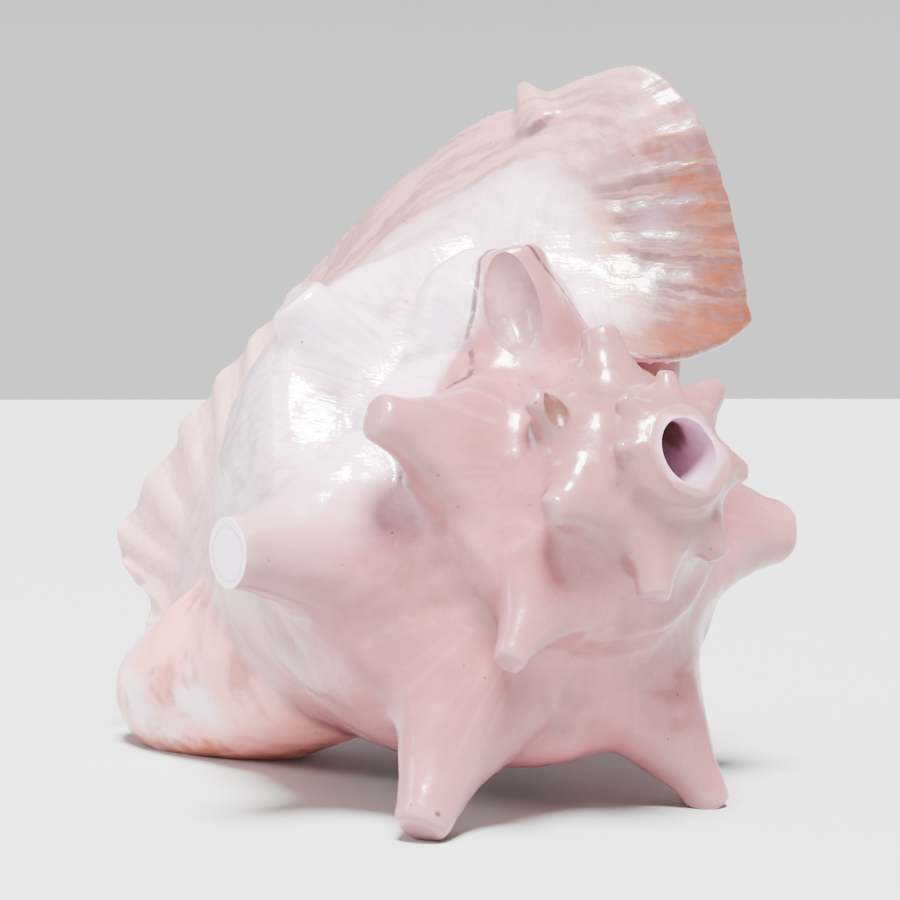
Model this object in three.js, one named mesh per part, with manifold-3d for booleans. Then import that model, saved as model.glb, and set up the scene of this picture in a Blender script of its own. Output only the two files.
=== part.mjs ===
// A queen conch shell kept as a blowing horn: the tip of the spire is sawn off, the spines are worn
// blunt, and the shell lies on two spines and its siphonal canal with the flared lip raised.
// Shell frame: w runs along the coil axis, positive towards the spire and zero at the sawn mouth.
// Seen from the spire, x is to the right and y is up, and the shell grows clockwise.

import * as THREE from "three";
import { mergeVertices } from "three/addons/utils/BufferGeometryUtils.js";
import Module from "manifold-3d";

const wasm = await Module();
wasm.setup();

// Coil: every size grows by the same ratio over one turn
const turnRatio = 1.558;
const referenceGrowth = 195;
const referenceShoulder = 51.7;
const shoulderFall = 1.672;
const coilVertex = 18.5;
const firstGrowth = -1084;
const wedgeGrowths = [firstGrowth, -800, -520, -250, 20];
const growthStep = 13;
const seamOverlap = 6;
const seamSink = 0.015;
const hubRadius = 2;
const columellaRadius = 4;
const columellaEnd = -190;

// Whorl outline from suture to canal, in shoulder radii out from the axis and along it from the
// shoulder, with the growth angle where the lip starts to flare and the place on the lip it reaches
const rows = [
  { out: 0.79, along: 0.48, flareFrom: 246, lip: [60, 43, -30] },
  { out: 0.9, along: 0.3, flareFrom: 250, lip: [58.5, 61, -26.5] },
  { out: 1.08, along: 0.1, flareFrom: 254, lip: [55.5, 86, -24.5] },
  { out: 1.26, along: 0, flareFrom: 257, lip: [50, 107, -27] },
  { out: 1.3, along: -0.16, flareFrom: 256, lip: [42, 119, -38] },
  { out: 1.27, along: -0.42, flareFrom: 252, lip: [30, 119, -63] },
  { out: 1.19, along: -0.75, flareFrom: 245, lip: [18, 117.5, -86] },
  { out: 1.05, along: -1.12, flareFrom: 235, lip: [3, 103.5, -117] },
  { out: 0.88, along: -1.48, flareFrom: 222, lip: [-11, 87, -147] },
  { out: 0.7, along: -1.82, flareFrom: 207, lip: [-25, 67, -177] },
  { out: 0.53, along: -2.12, flareFrom: 192, lip: [-38, 39, -209] },
  { out: 0.38, along: -2.4, flareFrom: 178, lip: [-33, 17, -206] },
  { out: 0.26, along: -2.65, flareFrom: 165, lip: [-36, -4, -220] },
];
const whorlPoints = 14;

// The shoulder stands out less on the early whorls and more towards the lip
const spreadStops = [
  [-1100, 0.86],
  [-700, 0.9],
  [-400, 0.96],
  [-100, 1],
  [120, 1],
  [190, 1.01],
  [232, 1.09],
  [300, 1.12],
];

// Lip sheet
const lipAcross = 36;
const lipAlong = 9;
const lipThickness = 4;
const lipRootGrowth = 9;
const lipRootSink = 1.2;
const growthPull = 0.9;
const edgePull = 0.7;
const flarePull = 0.45;
const hindClimb = [-3, -11, 11];
const hindRows = 1.7;
const frillWaves = 9;
const frillFrom = 0.6;
const frillHeight = 2.2;

// Spines on the shoulder: growth angle, reach beyond one shoulder radius, and where they differ from
// the rest the width of the base and of the worn tip
const spines = [
  { growth: -894, reach: 4 },
  { growth: -852, reach: 5 },
  { growth: -798, reach: 6.3 },
  { growth: -758, reach: 5.5, worn: 1.2 },
  { growth: -714, reach: 8, width: 1.2, worn: 1.4 },
  { growth: -660, reach: 8, width: 1.2, worn: 1.4 },
  { growth: -615, reach: 13, worn: 1.3 },
  { growth: -556, reach: 12, width: 1.25, worn: 1.3 },
  { growth: -507, reach: 12.2 },
  { growth: -452, reach: 13.4, worn: 1.5 },
  { growth: -393, reach: 16.9 },
  { growth: -226, reach: 24, worn: 0.9 },
  { growth: -161, reach: 29, worn: 1.15 },
  { growth: -97, reach: 28, worn: 2 },
  { growth: -45, reach: 26 },
  { growth: 7, reach: 31, width: 1.1, worn: 1.6 },
  { growth: 67, reach: 38.5, width: 0.9, worn: 0.85 },
  { growth: 126, reach: 40, width: 0.9 },
  { growth: 178, reach: 37, worn: 1.3 },
  { growth: 230, reach: 27, width: 1.2, worn: 1.6 },
];
const spineLean = 2;
const spineSides = 10;
const spineRings = [-0.9, 0, 0.3, 0.55, 1];
const spineRoot = 0.9;
const spineRootDepth = 0.4;
const spineBaseShare = 0.72;
const spineUpperShare = 0.33;
const spineTipShare = 0.12;
const spineTipLeast = 1.1;
const spineTaper = 1.7;

// The oval scar of a spine half grown over by the last whorl, and the swelling of the whorl around it
const scarAlong = [-0.16, 0.98, 0.12];
const scarFacing = [-0.5, -0.1, 0.86];
const scar = { centre: [-19, 49, -27], reach: [9, 17, 14], columns: 12, bands: 7 };
const swelling = { centre: [-9, 49, -49], reach: [21, 19, 13], columns: 12, bands: 7 };

// A small pointed fold on the lip's edge
const foldPath = [[31, 108, -60], [29, 124, -64]];
const foldRadii = [9, 2];

// Hollow of the whorls, in the same measure as the whorl outline, and the bore from the sawn mouth
const hollowOutline = [
  [0.93, 0.2],
  [1.08, 0],
  [1.17, -0.12],
  [1.17, -0.42],
  [1.09, -0.75],
  [0.95, -1.1],
  [0.79, -1.43],
  [0.61, -1.74],
  [0.44, -1.98],
  [0.31, -2.08],
  [0.21, -1.98],
  [0.18, -1.6],
  [0.23, -1.25],
  [0.36, -0.98],
  [0.58, -0.66],
  [0.72, -0.4],
  [0.83, -0.14],
  [0.89, 0.08],
];
const hollowFrom = -600;
const hollowPast = 30;
const hollowStep = 18;
const boreRadius = 8;
const borePath = [
  [0, 0, 6],
  [0, 0, -4],
  [0.5, 3, -11],
  [2, 10, -20],
];
const boreSides = 14;

// Siphonal canal, bent away from the opening
const canalPath = [
  { centre: [-16, -8, -112], radius: 30 },
  { centre: [-19, -9.5, -138], radius: 29.5 },
  { centre: [-20, -10, -165], radius: 28 },
  { centre: [-24, -10, -185], radius: 26 },
  { centre: [-29, -9, -201], radius: 21 },
  { centre: [-33, -7, -213], radius: 14 },
  { centre: [-35, -6, -220], radius: 6 },
];
const canalSides = 18;

// Resting pose
const axisTilt = 18.64;
const groundBelowMouth = 89;
const cutterSize = 600;

const growthRate = Math.log(turnRatio) / 360;
const lastRow = rows.length - 1;

function shoulderAt(growth) {
  return referenceShoulder * Math.exp(growthRate * (growth - referenceGrowth));
}

function polar(out, growth, along) {
  const angle = THREE.MathUtils.degToRad(-growth);
  return new THREE.Vector3(out * Math.cos(angle), out * Math.sin(angle), along);
}

function spreadAt(growth) {
  const found = spreadStops.findIndex(([stop]) => stop >= growth);
  const [fromStop, fromSpread] = spreadStops[found - 1];
  const [toStop, toSpread] = spreadStops[found];
  const share = THREE.MathUtils.smoothstep(growth, fromStop, toStop);
  return THREE.MathUtils.lerp(fromSpread, toSpread, share);
}

function whorlPoint(out, along, growth) {
  const shoulder = shoulderAt(growth);
  const spread = spreadAt(growth);
  return polar(out * spread * shoulder, growth, coilVertex + shoulder * (along - shoulderFall));
}

// A smooth curve through evenly spaced values
function through(values, place) {
  const last = values.length - 1;
  const start = Math.min(Math.floor(place), last - 1);
  const part = place - start;
  const a = values[Math.max(start - 1, 0)];
  const b = values[start];
  const c = values[start + 1];
  const d = values[Math.min(start + 2, last)];
  const slopeIn = (c - a) / 2;
  const slopeOut = (d - b) / 2;
  const square = part * part;
  const cube = square * part;
  return (2 * b - 2 * c + slopeIn + slopeOut) * cube
    + (3 * c - 3 * b - 2 * slopeIn - slopeOut) * square + slopeIn * part + b;
}

const outValues = rows.map((row) => row.out);
const alongValues = rows.map((row) => row.along);
const flareValues = rows.map((row) => row.flareFrom);
const lipValues = [0, 1, 2].map((axis) => rows.map((row) => row.lip[axis]));

// The growth angle where the flare starts, for a height on the whorl
function flareAtHeight(along) {
  const found = rows.findIndex((row) => row.along <= along);
  if (found < 0) {
    return rows[lastRow].flareFrom;
  }
  if (found === 0) {
    return rows[0].flareFrom;
  }
  const upper = rows[found - 1];
  const lower = rows[found];
  const share = (upper.along - along) / (upper.along - lower.along);
  return THREE.MathUtils.lerp(upper.flareFrom, lower.flareFrom, share);
}

function solidOf(points, triangles) {
  const geometry = new THREE.BufferGeometry();
  const numbers = points.flatMap((point) => [point.x, point.y, point.z]);
  geometry.setAttribute("position", new THREE.Float32BufferAttribute(numbers, 3));
  geometry.setIndex(triangles.flat());
  return solidFromGeometry(geometry);
}

function solidFromGeometry(geometry) {
  geometry.deleteAttribute("normal");
  geometry.deleteAttribute("uv");
  const merged = mergeVertices(geometry);
  return new wasm.Manifold(new wasm.Mesh({
    numProp: 3,
    vertProperties: new Float32Array(merged.attributes.position.array),
    triVerts: new Uint32Array(merged.index.array),
  }));
}

// The triangles between rings of equally many points
function skin(rings) {
  const count = rings[0].length;
  const triangles = [];
  for (let ring = 0; ring + 1 < rings.length; ring += 1) {
    for (let side = 0; side < count; side += 1) {
      const next = (side + 1) % count;
      const here = ring * count;
      const there = here + count;
      triangles.push([here + side, here + next, there + side]);
      triangles.push([here + next, there + next, there + side]);
    }
  }
  return triangles;
}

// A closed solid through rings, each end closed by a fan from the ring's point of the given index
function loft(rings, hub = 0) {
  const count = rings[0].length;
  const triangles = skin(rings);
  const lastStart = (rings.length - 1) * count;
  for (let step = 1; step + 1 < count; step += 1) {
    const side = (hub + step) % count;
    const next = (hub + step + 1) % count;
    triangles.push([hub, next, side]);
    triangles.push([lastStart + hub, lastStart + side, lastStart + next]);
  }
  return outward(rings.flat(), triangles);
}

// Turns every triangle when the solid would come out inside out
function outward(points, triangles) {
  let volume = 0;
  for (const [a, b, c] of triangles) {
    volume += points[a].dot(new THREE.Vector3().crossVectors(points[b], points[c]));
  }
  const turned = volume < 0 ? triangles.map(([a, b, c]) => [a, c, b]) : triangles;
  return solidOf(points, turned);
}

// One length of the coil as a wedge from the axis out to the whorl surface, its start sunk a little
// into the wedge before it
function coilWedge(from, to, slanted) {
  const steps = Math.ceil((to - from) / growthStep);
  const rings = [];
  for (let step = 0; step <= steps; step += 1) {
    const share = step / steps;
    const ring = [];
    for (let index = 0; index < whorlPoints; index += 1) {
      const place = (index / (whorlPoints - 1)) * lastRow;
      const end = slanted ? through(flareValues, place) : to;
      const growth = THREE.MathUtils.lerp(from, end, share);
      ring.push(whorlPoint(through(outValues, place), through(alongValues, place), growth));
    }
    const topEnd = slanted ? rows[0].flareFrom : to;
    const lowEnd = slanted ? rows[lastRow].flareFrom : to;
    const topGrowth = THREE.MathUtils.lerp(from, topEnd, share);
    const lowGrowth = THREE.MathUtils.lerp(from, lowEnd, share);
    ring.push(polar(hubRadius, lowGrowth, ring[whorlPoints - 1].z));
    ring.push(polar(hubRadius, topGrowth, ring[0].z));
    rings.push(ring);
  }
  const middle = new THREE.Vector3();
  for (const point of rings[0]) {
    middle.addScaledVector(point, 1 / rings[0].length);
  }
  for (const point of rings[0]) {
    point.lerp(middle, seamSink);
  }
  const hubTop = whorlPoints + 1;
  return loft(rings, hubTop);
}

function ringAround(centre, direction, radius, sides) {
  const steep = Math.abs(direction.z) > Math.SQRT1_2;
  const reference = steep ? new THREE.Vector3(1, 0, 0) : new THREE.Vector3(0, 0, 1);
  const side = reference.cross(direction).normalize();
  const rise = new THREE.Vector3().crossVectors(direction, side);
  const ring = [];
  for (let index = 0; index < sides; index += 1) {
    const angle = (index / sides) * 2 * Math.PI;
    const point = centre.clone();
    point.addScaledVector(side, radius * Math.cos(angle));
    point.addScaledVector(rise, radius * Math.sin(angle));
    ring.push(point);
  }
  return ring;
}

// A blunt spine on a rounded root, less deep towards the spire than towards the canal
function spineSolid({ growth, reach, width = 1, worn = 1 }) {
  const tilt = THREE.MathUtils.degToRad(spineLean);
  const shoulder = shoulderAt(growth);
  const root = polar(spineRoot * shoulder, growth, coilVertex - shoulderFall * shoulder);
  const direction = polar(Math.cos(tilt), growth, Math.sin(tilt));
  const sideways = new THREE.Vector3(0, 0, 1).cross(direction).normalize();
  const rise = new THREE.Vector3().crossVectors(direction, sideways);
  const length = (1 - spineRoot) * shoulder + reach;
  const base = spineBaseShare * length * width;
  const upper = Math.min(base, spineUpperShare * shoulder);
  const tip = (spineTipShare * length + spineTipLeast) * worn;
  const rings = spineRings.map((share) => {
    const depth = share < 0 ? spineRootDepth * shoulder : length;
    const centre = root.clone().addScaledVector(direction, share * depth);
    const radiusFor = (full) => (share < 0
      ? full * Math.sqrt(1 - share * share)
      : tip + (full - tip) * (1 - share) ** spineTaper);
    const ring = [];
    for (let index = 0; index < spineSides; index += 1) {
      const angle = (index / spineSides) * 2 * Math.PI;
      const point = centre.clone().addScaledVector(sideways, radiusFor(base) * Math.cos(angle));
      const deep = radiusFor(Math.sin(angle) > 0 ? upper : base);
      ring.push(point.addScaledVector(rise, deep * Math.sin(angle)));
    }
    return ring;
  });
  return loft(rings);
}

// An egg with its longest reach along the scar and its depth along the way the scar faces
function eggSolid({ centre, reach, columns, bands }) {
  const along = new THREE.Vector3(...scarAlong).normalize();
  const facing = new THREE.Vector3(...scarFacing);
  facing.addScaledVector(along, -facing.dot(along)).normalize();
  const across = new THREE.Vector3().crossVectors(along, facing);
  const frame = new THREE.Matrix4().makeBasis(across, along, facing).setPosition(...centre);
  const ball = new THREE.SphereGeometry(1, columns, bands).scale(...reach);
  return solidFromGeometry(ball.applyMatrix4(frame));
}

function growthTangent(out, along, growth) {
  const halfStep = 0.5;
  const after = whorlPoint(out, along, growth + halfStep);
  return after.sub(whorlPoint(out, along, growth - halfStep)).normalize();
}

// A point of the lip's outer face, from the whorl at 0 to the lip's edge at 1
function lipPoint(place, share) {
  const out = through(outValues, place);
  const along = through(alongValues, place);
  const growth = through(flareValues, place);
  const start = whorlPoint(out, along, growth);
  const edge = new THREE.Vector3(...lipValues.map((values) => through(values, place)));
  const chord = edge.clone().sub(start);
  const span = chord.length();
  const leave = growthTangent(out, along, growth).multiplyScalar(span * growthPull);
  const outwards = new THREE.Vector3(edge.x, edge.y, 0).normalize().multiplyScalar(span * flarePull);
  const arrive = chord.clone().multiplyScalar(edgePull).add(outwards);
  const square = share * share;
  const cube = square * share;
  const hind = Math.max(1 - place / hindRows, 0) ** 2 * Math.sin(Math.PI * share);
  return new THREE.Vector3(...hindClimb)
    .multiplyScalar(hind)
    .addScaledVector(start, 2 * cube - 3 * square + 1)
    .addScaledVector(leave, cube - 2 * square + share)
    .addScaledVector(edge, 3 * square - 2 * cube)
    .addScaledVector(arrive, cube - square);
}

function lipNormal(place, share) {
  const small = 0.01;
  const nearPlace = Math.max(place - small, 0);
  const farPlace = Math.min(place + small, lastRow);
  const nearShare = Math.max(share - small, 0);
  const farShare = Math.min(share + small, 1);
  const acrossWay = lipPoint(farPlace, share).sub(lipPoint(nearPlace, share));
  const alongWay = lipPoint(place, farShare).sub(lipPoint(place, nearShare));
  return alongWay.cross(acrossWay).normalize();
}

// The flared lip as a sheet with its root sunk into the whorl
function lipSheet() {
  const outer = [];
  const inner = [];
  for (let step = -1; step <= lipAlong; step += 1) {
    const outerRow = [];
    const innerRow = [];
    for (let index = 0; index <= lipAcross; index += 1) {
      const place = (index / lipAcross) * lastRow;
      const share = Math.max(step / lipAlong, 0);
      const normal = lipNormal(place, share);
      const frill = Math.max(index / lipAcross - frillFrom, 0) / (1 - frillFrom);
      const wave = Math.sin(frill * frillWaves * 2 * Math.PI) * Math.sin(frill * Math.PI);
      const point = lipPoint(place, share).addScaledVector(normal, frillHeight * wave * share * share);
      if (step <= 0) {
        point.addScaledVector(normal, -lipRootSink / 2);
      }
      if (step < 0) {
        const out = through(outValues, place);
        const along = through(alongValues, place);
        const growth = through(flareValues, place) - lipRootGrowth;
        point.copy(whorlPoint(out, along, growth)).addScaledVector(normal, -lipRootSink);
      }
      outerRow.push(point);
      innerRow.push(point.clone().addScaledVector(normal, -lipThickness));
    }
    outer.push(outerRow);
    inner.push(innerRow);
  }
  const rings = outer.map((outerRow, step) => [...outerRow, ...inner[step].reverse()]);
  return stripSolid(rings);
}

// A sheet whose rings run out along one face and back along the other, closed by strips at its ends
function stripSolid(rings) {
  const count = rings[0].length;
  const triangles = skin(rings);
  const lastStart = (rings.length - 1) * count;
  for (let side = 0; side + 1 < count / 2; side += 1) {
    const across = count - 1 - side;
    triangles.push([side, across, side + 1]);
    triangles.push([side + 1, across, across - 1]);
    triangles.push([lastStart + side, lastStart + side + 1, lastStart + across]);
    triangles.push([lastStart + side + 1, lastStart + across - 1, lastStart + across]);
  }
  return outward(rings.flat(), triangles);
}

function hollowSolid() {
  const steps = Math.ceil((referenceGrowth - hollowFrom) / hollowStep);
  const rings = [];
  for (let step = 0; step <= steps; step += 1) {
    const share = step / steps;
    rings.push(hollowOutline.map(([out, along]) => {
      const growth = THREE.MathUtils.lerp(hollowFrom, flareAtHeight(along) + hollowPast, share);
      return whorlPoint(out, along, growth);
    }));
  }
  return loft(rings);
}

function tubeSolid(path, radii, sides) {
  const centres = path.map((place) => new THREE.Vector3(...place));
  const rings = centres.map((centre, index) => {
    const before = centres[Math.max(index - 1, 0)];
    const after = centres[Math.min(index + 1, centres.length - 1)];
    const direction = after.clone().sub(before).normalize();
    return ringAround(centre, direction, radii[index], sides);
  });
  return loft(rings);
}

function cutterBox(lowest, highest) {
  const box = new THREE.BoxGeometry(cutterSize, cutterSize, highest - lowest);
  return box.translate(0, 0, (lowest + highest) / 2);
}

// The shell in its own frame
let body = tubeSolid(
  [[0, 0, coilVertex / 2], [0, 0, columellaEnd]],
  [columellaRadius, columellaRadius],
  boreSides,
);
for (let index = 0; index < wedgeGrowths.length; index += 1) {
  const last = index === wedgeGrowths.length - 1;
  const to = last ? rows[0].flareFrom : wedgeGrowths[index + 1];
  body = body.add(coilWedge(wedgeGrowths[index] - seamOverlap, to, last));
}
for (const spine of spines) {
  body = body.add(spineSolid(spine));
}
body = body.add(tubeSolid(
  canalPath.map((stop) => stop.centre),
  canalPath.map((stop) => stop.radius),
  canalSides,
));
body = body.add(tubeSolid(foldPath, foldRadii, spineSides));
body = body.add(eggSolid(swelling));
const bore = tubeSolid(borePath, borePath.map(() => boreRadius), boreSides);
body = body.subtract(hollowSolid()).subtract(bore);
body = body.add(lipSheet());
body = body.subtract(eggSolid(scar));
body = body.subtract(solidFromGeometry(cutterBox(0, cutterSize)));

// The resting pose, and the flats worn where the shell meets the floor
const tilt = THREE.MathUtils.degToRad(axisTilt);
const pose = new THREE.Matrix4().makeBasis(
  new THREE.Vector3(1, 0, 0),
  new THREE.Vector3(0, Math.sin(tilt), Math.cos(tilt)),
  new THREE.Vector3(0, -Math.cos(tilt), Math.sin(tilt)),
);
pose.setPosition(0, 0, groundBelowMouth);
const ground = cutterBox(-cutterSize, 0).applyMatrix4(pose.clone().invert());
body = body.subtract(solidFromGeometry(ground));

const found = body.getMesh();
const geometry = new THREE.BufferGeometry();
geometry.setAttribute("position", new THREE.BufferAttribute(new Float32Array(found.vertProperties), 3));
geometry.setIndex(new THREE.BufferAttribute(new Uint32Array(found.triVerts), 1));
geometry.applyMatrix4(pose);
geometry.computeBoundingBox();
const middle = geometry.boundingBox.getCenter(new THREE.Vector3());
geometry.translate(-middle.x, -middle.y, -geometry.boundingBox.min.z);
geometry.computeVertexNormals();

const shellMaterial = new THREE.MeshStandardMaterial({ color: 0xe3c9c6, roughness: 0.28, metalness: 0 });
const shell = new THREE.Mesh(geometry, shellMaterial);
shell.name = "shell";

const conch = new THREE.Group();
conch.add(shell);

export default conch;
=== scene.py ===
# A conch shell kept as a blowing horn, lying on two worn spines and its canal.
# The shell is worked out in its own frame, in millimetres: w runs along the coil axis, positive
# towards the spire and zero at the sawn mouth. Seen from the spire, x is to the right and y is up,
# and the shell grows clockwise. It is then turned into its resting pose, in metres.

import math

import bmesh
import bpy
import numpy as np
from mathutils import Matrix, Vector, kdtree, noise
from mathutils.bvhtree import BVHTree


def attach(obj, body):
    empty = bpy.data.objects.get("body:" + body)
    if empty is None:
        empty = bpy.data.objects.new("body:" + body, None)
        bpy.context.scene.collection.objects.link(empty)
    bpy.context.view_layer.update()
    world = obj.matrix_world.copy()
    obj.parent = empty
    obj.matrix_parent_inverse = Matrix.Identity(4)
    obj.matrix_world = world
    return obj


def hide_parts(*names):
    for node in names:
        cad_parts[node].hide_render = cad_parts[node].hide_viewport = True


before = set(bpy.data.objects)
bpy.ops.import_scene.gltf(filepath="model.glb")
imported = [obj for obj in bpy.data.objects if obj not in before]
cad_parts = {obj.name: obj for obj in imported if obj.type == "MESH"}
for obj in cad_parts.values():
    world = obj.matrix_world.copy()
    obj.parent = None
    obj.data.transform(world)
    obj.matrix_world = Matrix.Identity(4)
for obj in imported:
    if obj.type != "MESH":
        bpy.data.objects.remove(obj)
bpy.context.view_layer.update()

# Coil: every size grows by the same ratio over one turn
TURN_RATIO = 1.558
REFERENCE_GROWTH = 195
REFERENCE_SHOULDER = 51.7
SHOULDER_FALL = 1.672
COIL_VERTEX = 18.5
FIRST_GROWTH = -1084
HUB_RADIUS = 2
COIL_RINGS = 440
COIL_POINTS = 70
GROWTH_RATE = math.log(TURN_RATIO) / 360

# Whorl outline from suture to canal: shoulder radii out from the axis, shoulder radii along it from
# the shoulder, the growth angle where the lip starts to flare, and the place on the lip it reaches
OUT = [0.79, 0.9, 1.08, 1.26, 1.3, 1.27, 1.19, 1.05, 0.88, 0.7, 0.53, 0.38, 0.26]
ALONG = [0.48, 0.3, 0.1, 0, -0.16, -0.42, -0.75, -1.12, -1.48, -1.82, -2.12, -2.4, -2.65]
FLARE_FROM = [246, 250, 254, 257, 256, 252, 245, 235, 222, 207, 192, 178, 165]
LIP_X = [60, 58.5, 55.5, 50, 42, 30, 18, 3, -11, -25, -38, -33, -36]
LIP_Y = [43, 61, 86, 107, 119, 119, 117.5, 103.5, 87, 67, 39, 17, -4]
LIP_W = [-30, -26.5, -24.5, -27, -38, -63, -86, -117, -147, -177, -209, -206, -220]
LAST_ROW = len(OUT) - 1

# The shoulder stands out less on the early whorls and more towards the lip
SPREAD_GROWTH = np.array([-1100, -700, -400, -100, 120, 190, 232, 300])
SPREAD = np.array([0.86, 0.9, 0.96, 1, 1, 1.01, 1.09, 1.12])

# Lip sheet
LIP_ACROSS = 220
LIP_ALONG = 90
LIP_THICKNESS = 3.8
LIP_EDGE_THICKNESS = 2.4
LIP_ROOT_GROWTH = 9
LIP_ROOT_SINK = 1.2
GROWTH_PULL = 0.9
EDGE_PULL = 0.7
FLARE_PULL = 0.45
TANGENT_STEP = 0.5
HIND_CLIMB = (-3, -11, 11)
HIND_ROWS = 1.7
FRILL_WAVES = 11
FRILL_FROM = 0.6
FRILL_HEIGHT = 2.0
FRILL_SWELL = 1.5
CORD_SLANT = 1.8
RIPPLE_WAVES = 2.2
RIPPLE_HEIGHT = 0.35
RIPPLE_SHARE = (0.5, 0.8)
RIPPLE_START = (0, 0.5)
RIPPLE_END = (3, 5)

# Spines on the shoulder: growth angle, reach beyond one shoulder radius, width, width of the worn tip
SPINES = [
    (-894, 4, 1, 1), (-852, 5, 1, 1), (-798, 6.3, 1, 1), (-758, 5.5, 1, 1.2),
    (-714, 8, 1.2, 1.4), (-660, 8, 1.2, 1.4), (-615, 13, 1, 1.3), (-556, 12, 1.25, 1.3),
    (-507, 12.2, 1, 1), (-452, 13.4, 1, 1.5), (-393, 16.9, 1, 1), (-226, 24, 1, 0.9),
    (-161, 29, 1, 1.15), (-97, 28, 1, 2), (-45, 26, 1, 1), (7, 31, 1.1, 1.6),
    (67, 38.5, 0.9, 0.85), (126, 40, 0.9, 1), (178, 37, 1, 1.3), (230, 27, 1.2, 1.6),
]
SPINE_LEAN = 2
SPINE_SIDES = 36
SPINE_ROOT = 0.9
SPINE_ROOT_DEPTH = 0.4
SPINE_ROOT_FROM = -0.98
SPINE_ROOT_RINGS = 8
SPINE_RINGS = 16
SPINE_BASE_SHARE = 0.72
SPINE_UPPER_SHARE = 0.33
SPINE_TIP_SHARE = 0.12
SPINE_TIP_LEAST = 1.1
SPINE_TAPER = 1.7
SPINE_TIP_FROM = 0.95
SPINE_TIP_ROUND = 0.12

# The oval scar of a spine half grown over by the last whorl, and a small pit beside another spine
SCAR_CENTRE = (-19, 49, -27)
SCAR_REACH = (9, 17, 14)
SCAR_ALONG = (-0.16, 0.98, 0.12)
SCAR_FACING = (-0.5, -0.1, 0.86)
PIT_CENTRE = (-24.5, 15, -12.6)
PIT_REACH = (3.2, 6, 2.6)
PIT_ALONG = (0, 1, 0)
EGG_BANDS = 26
EGG_SIDES = 40

# Swelling of the last whorl around the scarred spine
SWELL_CENTRE = (-9, 49, -49)
SWELL_REACH = (21, 19, 13)
SWELL_FILL = 1.35

# The open crack where the last whorl meets the scarred spine and the spire
CRACK_PATH = [
    (12, 37, -32.5), (6.8, 44.3, -34.5), (2.8, 50.6, -34.2), (-3.9, 57.2, -31.4), (-7.2, 62.3, -31.4),
    (-10.5, 65, -36), (-12.1, 64.5, -40.9), (-18.1, 56.3, -40.4), (-20.2, 47.7, -42), (-20.7, 40.8, -44),
    (-27.9, 31, -38.1), (-32.7, 28.3, -40.6),
]
CRACK_STEPS = 400
CRACK_WIDTH = 1.0
CRACK_DEPTH = 0.35

# The spine whose worn tip is a clean flat, and how far along the spine the flat lies
FLAT_SPINE = 178
FLAT_SHARE = 0.95
FLAT_CUTTER = 40

# Dark specks in the polish
SPECKS = [(-53.2, -35.1, -74.5), (-49.7, -68.4, -53), (-58.6, 34.5, -67.1), (-9.6, -34.9, -31.6)]
SPECK_SIZE = 1.0

# A small pointed fold on the lip's edge
FOLD_PATH = [(31, 108, -60), (29, 124, -64)]
FOLD_RADII = [9, 2]
FOLD_RINGS = 10

# Siphonal canal, bent away from the opening
CANAL_PATH = [
    (-16, -8, -112), (-19, -9.5, -138), (-20, -10, -165), (-24, -10, -185),
    (-29, -9, -201), (-33, -7, -213), (-35, -6, -220),
]
CANAL_RADII = [30, 29.5, 28, 26, 21, 14, 6]
CANAL_RINGS = 40
CANAL_SIDES = 64

# Hollow of the whorls, in the same measure as the whorl outline, and the bore from the sawn mouth
HOLLOW_OUT = [
    0.93, 1.08, 1.17, 1.17, 1.09, 0.95, 0.79, 0.61, 0.44,
    0.31, 0.21, 0.18, 0.23, 0.36, 0.58, 0.72, 0.83, 0.89,
]
HOLLOW_ALONG = [
    0.2, 0, -0.12, -0.42, -0.75, -1.1, -1.43, -1.74, -1.98,
    -2.08, -1.98, -1.6, -1.25, -0.98, -0.66, -0.4, -0.14, 0.08,
]
HOLLOW_FROM = -600
HOLLOW_PAST = 30
HOLLOW_RINGS = 130
BORE_RADIUS = 8
BORE_PATH = [(0, 0, 6), (0, 0, -4), (0.5, 3, -11), (2, 10, -20)]
BORE_SIDES = 48
BORE_RINGS = 24

# Resting pose
AXIS_TILT = math.radians(18.64)
MOUTH_PLACE = (7.72, -104.64, 89)
CUTTER_SIZE = 600
MM = 0.001

# Mesh of the finished surface
VOXEL = 0.85
FILL_ROUNDS = 130
FILL_SHOULDER = 45
EVEN_ROUNDS = 3
MOST_TRIANGLES = 190000
SHARP_ANGLE = math.radians(50)

# Unevenness of the polished surface
LUMP_SIZE = 17
LUMP_HEIGHT = 0.7
DENT_SIZE = 5.5
DENT_HEIGHT = 0.32
DENT_OFFSET = 7.0
CRAG_SIZE = 4
CRAG_HEIGHT = 0.24
CRAG_OFFSET = 3.0
CRAG_GROWTH = (-150, -420)

# How strongly hollow corners are filled: fully at spine roots, hardly at the last suture and the lip
FULL_FILL = 1.0
LEAST_FILL = 0.2
CRISP_FILL = 0.06
CRISP_SUTURE_PLACE = 1.6
CRISP_SUTURE_GROWTH = 190
NECK_PLACE = 8.8
FILL_SOFTENING = 6
FILL_STEP = 0.7
EVEN_STEP = 0.5

# Samples of the surface, each with where it lies on the shell
COIL, SPINE, LIP_OUTER, LIP_INNER, CANAL = range(5)
SAMPLE_GROWTH_STEP = 2.5
SAMPLE_SPINE_FROM = 0.1
SAMPLE_SPINE_RINGS = 12
SAMPLE_SPINE_SIDES = 20
SAMPLE_LIP_STEP = 2
SAMPLE_CANAL_RINGS = 24
SAMPLE_CANAL_SIDES = 32
SHOULDER_PLACE = 3
SWELL_PLACE = 2

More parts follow.
